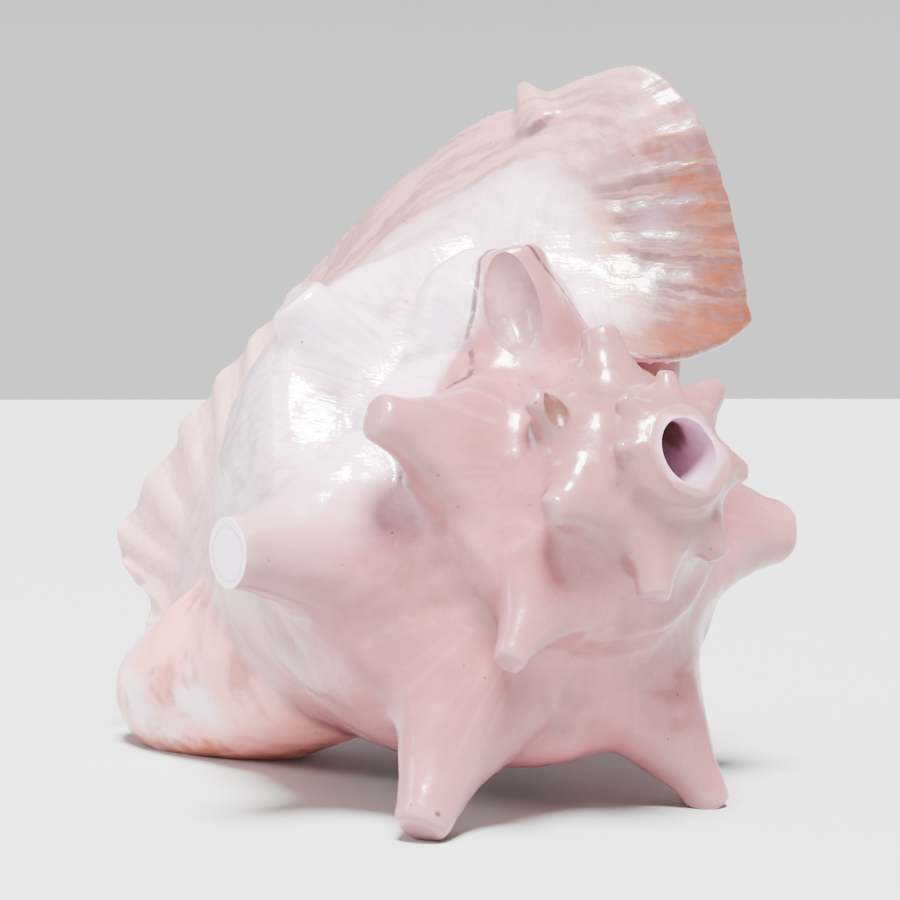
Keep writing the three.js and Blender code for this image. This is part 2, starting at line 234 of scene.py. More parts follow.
# Colour zones by growth angle, place on the whorl outline and share of the lip
PEARL_GROWTH = (168, 208)
PEARL_FADE_PLACE = (4.5, 6.5)
PEARL_FADE = 0.55
LIP_PEARL = 0.75
LIP_PEARL_SHARE = (0.56, 0.64)
LIP_PEARL_FADE_PLACE = (5.5, 7.5)
LIP_PEARL_FADE = 0.6
SPIRE_GROWTH = (-250, -480)
# Painted shade: the part of the wing that faces away from the light is given darker colours
SHADED_WING_PLACE = (2.9, 2.2)
SHADED_WING_SHARE = (0.61, 0.66)
RIB_FRILL = (0, 0.1)
RIB_SHARE = (0.45, 0.7)
LIP_LINE_SHARE = 0.62
LIP_LINE_WIDTH = 0.035
LIP_LINE_START = (0.6, 1.0)
LIP_LINE_END = (2.0, 2.6)
HIND_MARGIN_PLACE = (0.275, 0.825)
HIND_MARGIN_SHARE = (0.1, 0.3)
HIND_MARGIN_STAIN = 0.85
EGG_FACE = 1.05
# Painted shade with dirt: hollow places on the coil are darkened, and fine grit is scattered in them
GRIT_AND_SHADE_HOLLOWNESS = (0.004, 0.03)
GRIT_AND_SHADE_SOFTENING = 5
BORE_DEPTH = -26
BORE_WALL = 9.5
SAWN_FROM = -0.3
MARK_REACH = 3

# Orange stains near the lip's edge: place, share, reach in place, reach in share, strength
STAINS = [
    (2.6, 0.86, 0.35, 0.08, 0.8),
    (2.1, 0.9, 0.25, 0.08, 1.0),
    (1.7, 0.92, 0.25, 0.09, 1.0),
    (1.3, 0.93, 0.16, 0.09, 0.9),
    (0.9, 0.9, 0.2, 0.1, 1.0),
    (0.5, 0.83, 0.15, 0.22, 0.9),
]

# How far each zone's edge is softened
ZONE_SOFTENING = {
    "bore": 1, "sawn": 0, "shaded_wing": 3, "spire": 10, "crack": 0, "scar": 1, "rib": 0, "crest": 0, "pit": 1,
    "speck": 0, "grit_and_hollow_shade": 3, "lip": 6, "inner": 3, "canal": 12, "pearl": 6, "stain": 2, "line": 1,
    "lip_share": 3, "place": 2, "growth": 0, "tip": 2,
}

# Palette: dusty pink on the coil, pearly white towards the lip, cream with orange on the lip
PINK = (0.43, 0.14, 0.153, 1)
DEEP_PINK = (0.29, 0.094, 0.104, 1)
# The spire's deeper pink, also darkened as painted shade
SPIRE_PINK_AND_SHADE = (0.25, 0.105, 0.105, 1)
SPINE_CREAM = (0.31, 0.135, 0.138, 1)
PALE_PINK = (0.54, 0.25, 0.26, 1)
PEARL = (0.84, 0.57, 0.71, 1)
CREAM = (0.49, 0.245, 0.25, 1)
GREY_CREAM = (0.28, 0.14, 0.145, 1)
# Painted shade: a mauve tone darkened for the shaded part of the wing
SHADED_MAUVE = (0.075, 0.032, 0.034, 1)
TAN = (0.42, 0.2, 0.12, 1)
# Painted shade in the hollows, partly dirt
DIRT_AND_HOLLOW_SHADE = (0.13, 0.06, 0.055, 1)
# Painted shade: darker cream for the cords on the shaded part of the wing
SHADED_WING_CREAM = (0.23, 0.108, 0.108, 1)
LAVENDER = (0.3, 0.165, 0.24, 1)
ORANGE = (0.16, 0.033, 0.007, 1)
ORANGE_BROWN = (0.42, 0.11, 0.07, 1)
PEACH = (0.84, 0.31, 0.29, 1)
# Frill ribs: painted light on the crests and painted shade in the valleys, which also have a lavender
# tint
LIT_RIB_CREST = (0.86, 0.46, 0.47, 1)
SHADED_RIB_VALLEY = (0.52, 0.27, 0.33, 1)
RIB_PEACH = (0.62, 0.2, 0.17, 1)
WHITE = (0.84, 0.6, 0.68, 1)
BEIGE = (0.33, 0.16, 0.15, 1)
FLAT_WHITE = (0.8, 0.66, 0.82, 1)
BORE_PINK = (0.54, 0.32, 0.43, 1)
SCAR_MAUVE = (0.26, 0.12, 0.14, 1)
# Painted shade in the pit, with dark brown grit
PIT_GRIT_AND_SHADE = (0.12, 0.045, 0.035, 1)
INNER_PINK = (0.5, 0.15, 0.12, 1)
CRACK = (0.05, 0.022, 0.02, 1)
SPECK = (0.07, 0.035, 0.035, 1)

# Grain that runs with the shell: scale along the first and second way, then detail and roughness
STREAK_STRETCH = (60.0, 1.2)
STREAK_GRAIN = (4.0, 0.6)
THREAD_STRETCH = (200.0, 1.5)
THREAD_GRAIN = (3.0, 0.6)
CORD_STRETCH = (8.0, 3.0)
CORD_GRAIN = (3.0, 0.55)
ARC_STRETCH = (16.0, 0.9)
ARC_GRAIN = (4.0, 0.6)

# Grain that runs no way: scale, detail and roughness
MOTTLE = (45.0, 4.0, 0.55)
FINE = (260.0, 3.0, 0.6)
BROAD = (16.0, 2.0, 0.5)
GRIT = (900.0, 2.0, 0.6)
POLISH = (130.0, 2.0, 0.5)
SPARKLE = (520.0, 2.0, 0.5)

# Where each grain starts and ends to show a colour, and the most of that colour it shows
PINK_MOTTLE = (0.35, 0.7)
STREAK_RANGE = (0.5, 0.75)
STREAK_MOST = 0.3
SPIRE_MOST = 0.75
SPINE_TIP_RANGE = (0.2, 0.7)
SPINE_TIP_MOST = 0.55
CREAM_ARC = (0.38, 0.6)
LIP_LAVENDER_MOTTLE = (0.52, 0.68)
LIP_LAVENDER_MOST = 0.5
TAN_ARC = (0.56, 0.72)
TAN_MOST = 0.55
WING_CORD = (0.45, 0.62)
WING_LAVENDER_MOTTLE = (0.5, 0.7)
WING_LAVENDER_MOST = 0.6
# How far the painted shade on the wing's far part shows
SHADED_WING_MOST = 0.85
PEARL_MOTTLE = 0.6
PEARL_PATCH = (0.5, 0.95)
PEARL_PATCHY = 0.45
PEARL_EVEN = 0.55
STAIN_FINE = 0.4
STAIN_SPREAD = (0.45, 0.75)
RIB_PEACH_MOTTLE = (0.5, 0.66)
RIB_PEACH_MOST = 0.75
RIB_MOST = 0.7
CANAL_WHITE = (0.5, 0.6)
CANAL_PATCH = (0.5, 0.62)
CANAL_PATCH_MOST = 0.9
WORN_TIP = (0.85, 1.0)
WORN_TIP_PEARL = 0.9
WORN_TIP_LEAST = 0.08
LINE_MOST = 0.8
# How much painted shade with dirt darkens the hollows
DIRT_AND_HOLLOW_SHADE_MOST = 0.55
GRIT_RANGE = (0.58, 0.68)
GRIT_MOTTLE = (0.42, 0.58)
GRIT_MOST = 0.8
SCAR_MOTTLE = (0.4, 0.65)
PIT_FINE = (0.3, 0.6)
CRACK_EDGE = (0.4, 1.0)
CRACK_BREAKS = (0.36, 0.46)
CRACK_MOST = 0.85

# Fine dark specks, and the worn flat with its faint rings, in metres
SPECK_SCALE = 240.0
SPECK_REACH = 0.085
SPECK_RARITY = 0.8
SMALL_SPECK_MOST = 0.7
LARGE_SPECK_MOST = 0.9
FLAT_SKIN = 0.0002
FLAT_REACH = 0.02
FLAT_RING = 0.0034
FLAT_RING_WIDTH = 0.0007
FLAT_RING_WOBBLE = 0.0012
FLAT_RING_MOST = 0.45

# Gloss and fine relief of the polish
ROUGHNESS = 0.3
SPECULAR_LEVEL = 0.3
COAT_LEAST = 0.45
COAT_PEARL = 0.5
COAT_ROUGHNESS = 0.06
CORD_RELIEF = 0.5
THREAD_RELIEF = 0.6
STREAK_RELIEF = 0.15
POLISH_RELIEF = 0.5
SPARKLE_RELIEF = 0.16
RELIEF_STRENGTH = 0.4
RELIEF_HEIGHT = 0.001

# Pale floor and soft studio light
FLOOR_REACH = 40.0
FLOOR_COLOUR = (0.5, 0.5, 0.5, 1)
FLOOR_ROUGHNESS = 0.8
SKY_COLOUR = (0.97, 0.97, 1, 1)
SKY_HEIGHT = (0.15, 0.35)
SKY_STRENGTH = (1.15, 0.35)
SUN_STRENGTH = 23.5
SUN_ANGLE = math.radians(20)
SUN_TOWARDS = (0.02, 0.9, 0.42)
SIDE_LIGHT_PLACE = (-1.0, 0.5, 0.2)
SIDE_LIGHT_SIZE = 0.4
SIDE_LIGHT_POWER = 7
LIGHT_TARGET = (0, 0, 0.1)

# Viewing direction of the photograph
VIEW_AZIMUTH = math.radians(-35.5)
VIEW_ELEVATION = math.radians(1.5)
VIEW_DISTANCE = 0.476
VIEW_ASIDE = 0.0542
LENS = 84
SENSOR_WIDTH = 36


def smoothstep(low, high, value):
    share = np.clip((value - low) / (high - low), 0, 1)
    return share * share * (3 - 2 * share)


def through(values, place):
    """A smooth curve through evenly spaced values."""
    values = np.asarray(values, float)
    last = len(values) - 1
    start = np.minimum(np.floor(place).astype(int), last - 1)
    part = place - start
    a = values[np.maximum(start - 1, 0)]
    b = values[start]
    c = values[start + 1]
    d = values[np.minimum(start + 2, last)]
    slope_in = (c - a) / 2
    slope_out = (d - b) / 2
    cubic = (2 * b - 2 * c + slope_in + slope_out) * part ** 3
    square = (3 * c - 3 * b - 2 * slope_in - slope_out) * part ** 2
    return cubic + square + slope_in * part + b


def shoulder_at(growth):
    return REFERENCE_SHOULDER * np.exp(GROWTH_RATE * (growth - REFERENCE_GROWTH))


def spread_at(growth):
    stop = np.clip(np.searchsorted(SPREAD_GROWTH, growth), 1, len(SPREAD) - 1)
    share = smoothstep(SPREAD_GROWTH[stop - 1], SPREAD_GROWTH[stop], growth)
    return SPREAD[stop - 1] + (SPREAD[stop] - SPREAD[stop - 1]) * share


def polar(out, growth, along):
    angle = np.radians(-growth)
    out, angle, along = np.broadcast_arrays(out, angle, along)
    return np.stack([out * np.cos(angle), out * np.sin(angle), along], axis=-1)


def whorl_point(out, along, growth):
    shoulder = shoulder_at(growth)
    height = COIL_VERTEX + shoulder * (along - SHOULDER_FALL)
    return polar(out * spread_at(growth) * shoulder, growth, height)


def unit(vectors):
    return vectors / np.linalg.norm(vectors, axis=-1, keepdims=True)


def ring_faces(rings, count):
    """Quads between rings of equally many points, with a cap on each end."""
    here = np.arange(rings - 1)[:, None] * count
    side = np.arange(count)[None, :]
    after = (side + 1) % count
    quads = np.stack([here + side, here + after, here + count + after, here + count + side], axis=-1)
    faces = quads.reshape(-1, 4).tolist()
    last = (rings - 1) * count
    faces.append(list(range(count))[::-1])
    faces.append(list(range(last, last + count)))
    return faces


def rings_solid(rings):
    rings = np.asarray(rings)
    return rings.reshape(-1, 3), ring_faces(rings.shape[0], rings.shape[1])


def coil_solid():
    place = np.linspace(0, LAST_ROW, COIL_POINTS)[None, :]
    share = np.linspace(0, 1, COIL_RINGS)[:, None]
    end = through(FLARE_FROM, place)
    growth = FIRST_GROWTH + (end - FIRST_GROWTH) * share
    surface = whorl_point(through(OUT, place), through(ALONG, place), growth)
    low = polar(HUB_RADIUS, growth[:, -1], surface[:, -1, 2])
    top = polar(HUB_RADIUS, growth[:, 0], surface[:, 0, 2])
    return rings_solid(np.concatenate([surface, low[:, None], top[:, None]], axis=1))


def ring_around(centre, direction, radius, sides):
    steep = abs(direction[2]) > math.sqrt(0.5)
    reference = np.array([1.0, 0, 0]) if steep else np.array([0, 0, 1.0])
    side = unit(np.cross(reference, direction))
    rise = np.cross(direction, side)
    angle = np.linspace(0, 2 * math.pi, sides, endpoint=False)[:, None]
    return centre + radius * (np.cos(angle) * side + np.sin(angle) * rise)


def spine_frame(growth, reach):
    shoulder = shoulder_at(growth)
    lean = math.radians(SPINE_LEAN)
    root = polar(SPINE_ROOT * shoulder, growth, COIL_VERTEX - SHOULDER_FALL * shoulder)
    direction = polar(math.cos(lean), growth, math.sin(lean))
    length = (1 - SPINE_ROOT) * shoulder + reach
    return root, direction, length


def spine_ring(growth, reach, width, worn, share, sides):
    """A ring of a spine: below share 0 its rounded root, above it the cone up to the worn tip."""
    root, direction, length = spine_frame(growth, reach)
    tip = (SPINE_TIP_SHARE * length + SPINE_TIP_LEAST) * worn
    base = SPINE_BASE_SHARE * length * width
    upper = min(base, SPINE_UPPER_SHARE * shoulder_at(growth))
    angle = np.linspace(0, 2 * math.pi, sides, endpoint=False)[:, None]
    spireward = np.array([0, 0, 1.0])
    sideways = unit(np.cross(spireward, direction))
    rise = np.cross(direction, sideways)
    across, along = np.cos(angle), np.sin(angle)
    depth = np.where(along > 0, upper, base)
    if share < 0:
        round_off = math.sqrt(1 - share * share)
        centre = root + direction * share * SPINE_ROOT_DEPTH * shoulder_at(growth)
        return centre + round_off * (base * across * sideways + depth * along * rise)
    taper = (1 - share) ** SPINE_TAPER
    edge = 1 - SPINE_TIP_ROUND * max(share - SPINE_TIP_FROM, 0) / (1 - SPINE_TIP_FROM)
    wide = edge * (tip + (base - tip) * taper)
    deep = edge * (tip + (depth - tip) * taper)
    return root + direction * share * length + wide * across * sideways + deep * along * rise


def spine_solid(growth, reach, width, worn):
    rooted = np.linspace(SPINE_ROOT_FROM, 0, SPINE_ROOT_RINGS)[:-1]
    shares = np.concatenate([rooted, np.linspace(0, SPINE_TIP_FROM, SPINE_RINGS), [1]])
    return rings_solid([
        spine_ring(growth, reach, width, worn, share, SPINE_SIDES) for share in shares
    ])


def tube_solid(path, radii, sides, rings):
    path = np.array(path, float)
    place = np.linspace(0, len(path) - 1, rings)
    centres = np.stack([through(path[:, axis], place) for axis in range(3)], axis=-1)
    ways = unit(np.gradient(centres, axis=0))
    sizes = through(radii, place)
    return rings_solid([
        ring_around(centre, way, size, sides) for centre, way, size in zip(centres, ways, sizes)
    ])


def lip_points(place, share):
    """Points of the lip's outer face, from the whorl at share 0 to the lip's edge at share 1."""
    out = through(OUT, place)
    along = through(ALONG, place)
    growth = through(FLARE_FROM, place)
    start = whorl_point(out, along, growth)
    edge = np.stack([through(values, place) for values in (LIP_X, LIP_Y, LIP_W)], axis=-1)
    chord = edge - start
    span = np.linalg.norm(chord, axis=-1, keepdims=True)
    ahead = whorl_point(out, along, growth + TANGENT_STEP)
    tangent = ahead - whorl_point(out, along, growth - TANGENT_STEP)
    leave = unit(tangent) * span * GROWTH_PULL
    flat = edge * np.array([1, 1, 0])
    arrive = chord * EDGE_PULL + unit(flat) * span * FLARE_PULL
    hind = np.maximum(1 - place / HIND_ROWS, 0) ** 2 * np.sin(math.pi * share)
    share = share[..., None]
    square = share ** 2
    cube = share ** 3
    return (
        np.array(HIND_CLIMB) * hind[..., None]
        + start * (2 * cube - 3 * square + 1)
        + leave * (cube - 2 * square + share)
        + edge * (3 * square - 2 * cube)
        + arrive * (cube - square)
    )


def lip_grid():
    """Outer face and outward normals of the lip, as rows along the lip and columns across it."""
    share, place = np.meshgrid(
        np.linspace(0, 1, LIP_ALONG), np.linspace(0, LAST_ROW, LIP_ACROSS), indexing="ij"
    )
    points = lip_points(place, share)
    normal = unit(np.cross(np.gradient(points, axis=0), np.gradient(points, axis=1)))
    frill = np.maximum(place / LAST_ROW - FRILL_FROM, 0) / (1 - FRILL_FROM)
    wave = np.sin(frill * FRILL_WAVES * 2 * math.pi) * np.sin(frill * math.pi)
    ripple = np.sin((place + CORD_SLANT * share) * RIPPLE_WAVES * 2 * math.pi)
    ripple = ripple * smoothstep(*RIPPLE_SHARE, share)
    ripple = ripple * (1 - smoothstep(*RIPPLE_END, place)) * smoothstep(*RIPPLE_START, place)
    rise = FRILL_HEIGHT * wave * share ** FRILL_SWELL + RIPPLE_HEIGHT * ripple
    return points + normal * rise[..., None], normal, place, share


def lip_solid():
    points, normal, place, share = lip_grid()
    sink = np.where(share[:, :1] == 0, LIP_ROOT_SINK / 2, 0)[..., None]
    outer = points - normal * sink
    root_growth = through(FLARE_FROM, place[0]) - LIP_ROOT_GROWTH
    root = whorl_point(through(OUT, place[0]), through(ALONG, place[0]), root_growth)
    outer = np.concatenate([(root - normal[0] * LIP_ROOT_SINK)[None], outer])
    normal = np.concatenate([normal[:1], normal])
    share = np.concatenate([share[:1], share])
    thickness = LIP_THICKNESS + (LIP_EDGE_THICKNESS - LIP_THICKNESS) * share
    inner = outer - normal * thickness[..., None]
    rings = np.concatenate([outer, inner[:, ::-1]], axis=1)
    count = rings.shape[1]
    faces = ring_faces(rings.shape[0], count)[:-2]
    side = np.arange(count // 2 - 1)
    strip = np.stack([side, side + 1, count - 2 - side, count - 1 - side], axis=-1)
    last = (rings.shape[0] - 1) * count
    faces += strip[:, ::-1].tolist()
    faces += (last + strip).tolist()
    return rings.reshape(-1, 3), faces


def hollow_solid():
    along = np.array(HOLLOW_ALONG)
    end = np.interp(-along, -np.array(ALONG), FLARE_FROM) + HOLLOW_PAST
    share = np.linspace(0, 1, HOLLOW_RINGS)[:, None]
    growth = HOLLOW_FROM + (end[None, :] - HOLLOW_FROM) * share
    return rings_solid(whorl_point(np.array(HOLLOW_OUT)[None, :], along[None, :], growth))


def egg_ways(reach, along, facing):
    along = unit(np.array(along, float))
    facing = np.array(facing, float)
    facing = unit(facing - along * (facing @ along))
    across = np.cross(along, facing)
    return np.stack([across, along, facing]) * np.array(reach)[:, None]


def egg_solid(centre, reach, along, facing):
    """An egg-shaped solid with its longest reach along one way and its depth along another."""
    ways = egg_ways(reach, along, facing)
    rings = []
    for turn in np.linspace(0, math.pi, EGG_BANDS)[1:-1]:
        angle = np.linspace(0, 2 * math.pi, EGG_SIDES, endpoint=False)[:, None]
        ring = np.concatenate([
            np.cos(angle) * math.sin(turn),
            np.full_like(angle, -math.cos(turn)),
            np.sin(angle) * math.sin(turn),
        ], axis=1)
        rings.append(np.array(centre) + ring @ ways)
    return rings_solid(rings)


def box_solid(lowest, highest, matrix=None, size=CUTTER_SIZE):
    half = size / 2
    corners = np.array([
        (x, y, z) for z in (lowest, highest)
        for x, y in ((-half, -half), (half, -half), (half, half), (-half, half))
    ])
    if matrix is not None:
        corners = np.array([matrix @ Vector(corner) for corner in corners])
    return corners, ring_faces(2, 4)


def resting_matrix():
    """From the shell's own frame to its resting pose, in millimetres."""
    across = Vector((1, 0, 0))
    rise = Vector((0, math.sin(AXIS_TILT), math.cos(AXIS_TILT)))
    axis = Vector((0, -math.cos(AXIS_TILT), math.sin(AXIS_TILT)))
    matrix = Matrix((across, rise, axis)).transposed().to_4x4()
    matrix.translation = Vector(MOUTH_PLACE)
    return matrix


def mesh_of(name, solids):
    points = []
    faces = []
    start = 0
    for solid_points, solid_faces in solids:
        points.append(solid_points)
        faces += [[start + index for index in face] for face in solid_faces]
        start += len(solid_points)
    mesh = bpy.data.meshes.new(name)
    mesh.from_pydata(np.concatenate(points).tolist(), [], faces)
    return mesh


def object_of(name, mesh):
    made = bpy.data.objects.new(name, mesh)
    bpy.context.scene.collection.objects.link(made)
    return made


def outward(mesh):
    """Turns the faces outward."""
    work = bmesh.new()
    work.from_mesh(mesh)
    bmesh.ops.recalc_face_normals(work, faces=work.faces)
    work.to_mesh(mesh)
    work.free()
    return mesh


def with_modifier(mesh, kind, **settings):
    holder = object_of("holder", mesh)
    modifier = holder.modifiers.new(kind.lower(), kind)
    for name, value in settings.items():
        setattr(modifier, name, value)
    graph = bpy.context.evaluated_depsgraph_get()
    made = bpy.data.meshes.new_from_object(holder.evaluated_get(graph))
    bpy.data.objects.remove(holder)
    return made


def cut(mesh, solid):
    cutter = object_of("cutter", outward(mesh_of("cutter", [solid])))
    made = with_modifier(mesh, "BOOLEAN", operation="DIFFERENCE", solver="MANIFOLD", object=cutter)
    bpy.data.objects.remove(cutter)
    return made


def points_of(mesh):
    found = np.empty(len(mesh.vertices) * 3)
    mesh.vertices.foreach_get("co", found)
    return found.reshape(-1, 3)


def normals_of(mesh):
    found = np.empty(len(mesh.vertices) * 3, dtype=np.float32)
    mesh.vertex_normals.foreach_get("vector", found)
    return found.reshape(-1, 3).astype(float)


def edges_of(mesh):
    found = np.empty(len(mesh.edges) * 2, dtype=np.int32)
    mesh.edges.foreach_get("vertices", found)
    return found.reshape(-1, 2)


def set_points(mesh, points):
    mesh.vertices.foreach_set("co", points.ravel())
    mesh.update()


def neighbour_mean(values, edges):
    """The mean of each point's neighbours."""
    count = len(values)
    near, far = edges[:, 0], edges[:, 1]
    total = np.bincount(near, minlength=count) + np.bincount(far, minlength=count)
    flat = values.reshape(count, -1)
    sums = np.empty_like(flat)
    for column in range(flat.shape[1]):
        sums[:, column] = np.bincount(near, flat[far, column], count)
        sums[:, column] += np.bincount(far, flat[near, column], count)
    return (sums / np.maximum(total, 1)[:, None]).reshape(values.shape)


def half_turn(angle):
    """An angle in degrees brought between minus and plus half a turn."""
    return (angle + 180) % 360 - 180


def mask(condition):
    return np.where(condition, 1.0, 0.0)


def surface_samples():
    """Points with kind, growth angle, place on the outline, share of the lip and share of the spine."""
    parts = []

    def keep(points, kind, growth, place, lip_share, spine_share):
        flat = points.reshape(-1, 3)
        fields = [
            np.broadcast_to(np.asarray(value, float), points.shape[:-1]).ravel()
            for value in (kind, growth, place, lip_share, spine_share)
        ]
        parts.append(np.column_stack([flat] + fields))

    growth, place = np.meshgrid(
        np.arange(FIRST_GROWTH, max(FLARE_FROM), SAMPLE_GROWTH_STEP),
        np.linspace(0, LAST_ROW, COIL_POINTS),
        indexing="ij",
    )
    inside = growth < through(FLARE_FROM, place)
    points = whorl_point(through(OUT, place), through(ALONG, place), growth)
    keep(points[inside], COIL, growth[inside], place[inside], 0, 0)
    for spine_growth, reach, width, worn in SPINES:
        for share in np.linspace(SAMPLE_SPINE_FROM, 1, SAMPLE_SPINE_RINGS):
            ring = spine_ring(spine_growth, reach, width, worn, share, SAMPLE_SPINE_SIDES)
            turned = half_turn(np.degrees(-np.arctan2(ring[:, 1], ring[:, 0])) - spine_growth)
            keep(ring, SPINE, spine_growth + turned, SHOULDER_PLACE, 0, share)
    every = slice(None, None, SAMPLE_LIP_STEP)
    points, normal, place, share = [grid[every, every] for grid in lip_grid()]
    flare = through(FLARE_FROM, place)
    keep(points, LIP_OUTER, flare, place, share, 0)
    keep(points - normal * LIP_THICKNESS, LIP_INNER, flare, place, share, 0)
    swelling, _ = egg_solid(SWELL_CENTRE, SWELL_REACH, SCAR_ALONG, SCAR_FACING)
    keep(swelling, COIL, max(FLARE_FROM), SWELL_PLACE, 0, 0)
    canal, _ = tube_solid(CANAL_PATH, CANAL_RADII, SAMPLE_CANAL_SIDES, SAMPLE_CANAL_RINGS)
    keep(canal, CANAL, FLARE_FROM[-1], LAST_ROW, 0, 0)
    return np.concatenate(parts)


def tree_of(points):
    tree = kdtree.KDTree(len(points))
    for index, point in enumerate(points):
        tree.insert(point, index)
    tree.balance()
    return tree


samples = surface_samples()
sample_tree = tree_of(samples[:, :3])


def fields_at(points):
    """The fields of the nearest sample, with the growth angle worked out at the point itself."""
    found = np.array([sample_tree.find(point)[1] for point in points])
    fields = samples[found, 3:]
    fields[:, 1] += half_turn(np.degrees(-np.arctan2(points[:, 1], points[:, 0])) - fields[:, 1])
    return fields.T


def noise_at(points, size, offset=0.0):
    return np.array([noise.noise(Vector(point) / size + Vector((offset, 0, 0))) for point in points])


def soften(values, edges, rounds):
    for step in range(rounds):
        values = (values + neighbour_mean(values, edges)) / 2
    return values


def egg_distance(points, centre, reach, along):
    """How far each point lies from an egg's middle, with 1 on the egg's own surface."""
    ways = egg_ways(reach, along, SCAR_FACING)
    return np.linalg.norm((points - np.array(centre)) @ np.linalg.inv(ways), axis=1)


def grown_body():
    """The whole shell as one closed surface, still without its openings."""
    rough = mesh_of("rough", [
        coil_solid(),
        lip_solid(),
        tube_solid(CANAL_PATH, CANAL_RADII, CANAL_SIDES, CANAL_RINGS),
        tube_solid(FOLD_PATH, FOLD_RADII, SPINE_SIDES, FOLD_RINGS),
        egg_solid(SWELL_CENTRE, SWELL_REACH, SCAR_ALONG, SCAR_FACING),
        *[spine_solid(*spine) for spine in SPINES],
    ])
    return with_modifier(outward(rough), "REMESH", mode="VOXEL", voxel_size=VOXEL)


def fill_strength(points, edges, kind, growth, place):
    fill = np.clip(shoulder_at(growth) / FILL_SHOULDER, LEAST_FILL, FULL_FILL)
    fill[(kind == LIP_OUTER) | (kind == LIP_INNER)] = CRISP_FILL
    fill[(kind == COIL) & (place < CRISP_SUTURE_PLACE) & (growth > CRISP_SUTURE_GROWTH)] = CRISP_FILL
    near_swelling = egg_distance(points, SWELL_CENTRE, SWELL_REACH, SCAR_ALONG) < SWELL_FILL
    fill[near_swelling & (kind == COIL)] = FULL_FILL
    fill[(kind >= LIP_OUTER) & (place > NECK_PLACE)] = FULL_FILL
    return soften(fill, edges, FILL_SOFTENING)


def polish(body):
    """Fills hollow corners, evens the surface and gives it the lumps and dents of a worn shell."""
    points = points_of(body)
    edges = edges_of(body)
    kind, growth, place, lip_share, spine_share = fields_at(points)
    fill = fill_strength(points, edges, kind, growth, place)
    for step in range(FILL_ROUNDS):
        pull = neighbour_mean(points, edges) - points
        set_points(body, points)
        normals = normals_of(body)
        raised = np.maximum((pull * normals).sum(1, keepdims=True), 0)
        points = points + normals * raised * fill[:, None] * FILL_STEP
    for step in range(EVEN_ROUNDS):
        points = points + (neighbour_mean(points, edges) - points) * EVEN_STEP
    set_points(body, points)
    lumps = noise_at(points, LUMP_SIZE) * LUMP_HEIGHT
    lumps = lumps + noise_at(points, DENT_SIZE, DENT_OFFSET) * DENT_HEIGHT
    crags = smoothstep(*CRAG_GROWTH, growth) * mask(kind <= SPINE)
    lumps = lumps + noise_at(points, CRAG_SIZE, CRAG_OFFSET) * CRAG_HEIGHT * crags
    set_points(body, points + normals_of(body) * lumps[:, None])


def flat_tip_pose():
    """The plane of the worn flat, with its Z along the spine."""
    growth, reach = next(spine[:2] for spine in SPINES if spine[0] == FLAT_SPINE)
    root, direction, length = spine_frame(growth, reach)
    plane = Vector(direction).to_track_quat("Z", "Y").to_matrix().to_4x4()
    plane.translation = Vector(root + direction * length * FLAT_SHARE)
    return plane


pose = resting_matrix()
flat_pose = flat_tip_pose()
body = grown_body()
polish(body)
for cutter in (
    egg_solid(SCAR_CENTRE, SCAR_REACH, SCAR_ALONG, SCAR_FACING),
    egg_solid(PIT_CENTRE, PIT_REACH, PIT_ALONG, SCAR_FACING),
    hollow_solid(),
    tube_solid(BORE_PATH, [BORE_RADIUS] * len(BORE_PATH), BORE_SIDES, BORE_RINGS),
    box_solid(0, CUTTER_SIZE),
    box_solid(0, FLAT_CUTTER, flat_pose, FLAT_CUTTER),
    box_solid(-CUTTER_SIZE, 0, pose.inverted()),
):
    body = cut(body, cutter)
body.calc_loop_triangles()
body = with_modifier(body, "DECIMATE", ratio=min(1.0, MOST_TRIANGLES / len(body.loop_triangles)))


def crack_distance(body, points):
    """How far each point lies from the crack, which follows the surface."""
    surface = BVHTree.FromPolygons(points.tolist(), [list(face.vertices) for face in body.polygons])
    place = np.linspace(0, len(CRACK_PATH) - 1, CRACK_STEPS)
    path = np.stack([through(axis, place) for axis in np.array(CRACK_PATH).T], axis=-1)
    tree = tree_of([surface.find_nearest(point)[0] for point in path])
    return np.array([tree.find(point)[2] for point in points])


def pearl_zones(kind, growth, place, lip_share):
    coil = smoothstep(*PEARL_GROWTH, growth) * mask(kind != LIP_OUTER)
    coil = coil * (1 - PEARL_FADE * smoothstep(*PEARL_FADE_PLACE, place))
    lip = LIP_PEARL * mask(kind == LIP_OUTER) * (1 - smoothstep(*LIP_PEARL_SHARE, lip_share))
    lip = lip * (1 - LIP_PEARL_FADE * smoothstep(*LIP_PEARL_FADE_PLACE, place))
    return np.maximum(coil, lip)


def stain_zones(place, lip_share):
    margin = 1 - smoothstep(*HIND_MARGIN_PLACE, place)
    stain = HIND_MARGIN_STAIN * margin * smoothstep(*HIND_MARGIN_SHARE, lip_share)
    for stain_place, stain_share, place_reach, share_reach, strength in STAINS:
        along = (place - stain_place) / place_reach
        across = (lip_share - stain_share) / share_reach
        stain = np.maximum(stain, strength * np.exp(-(along ** 2 + across ** 2)))
    return stain


def line_zone(place, lip_share):
    line = np.exp(-((lip_share - LIP_LINE_SHARE) / LIP_LINE_WIDTH) ** 2)
    return line * smoothstep(*LIP_LINE_START, place) * (1 - smoothstep(*LIP_LINE_END, place))


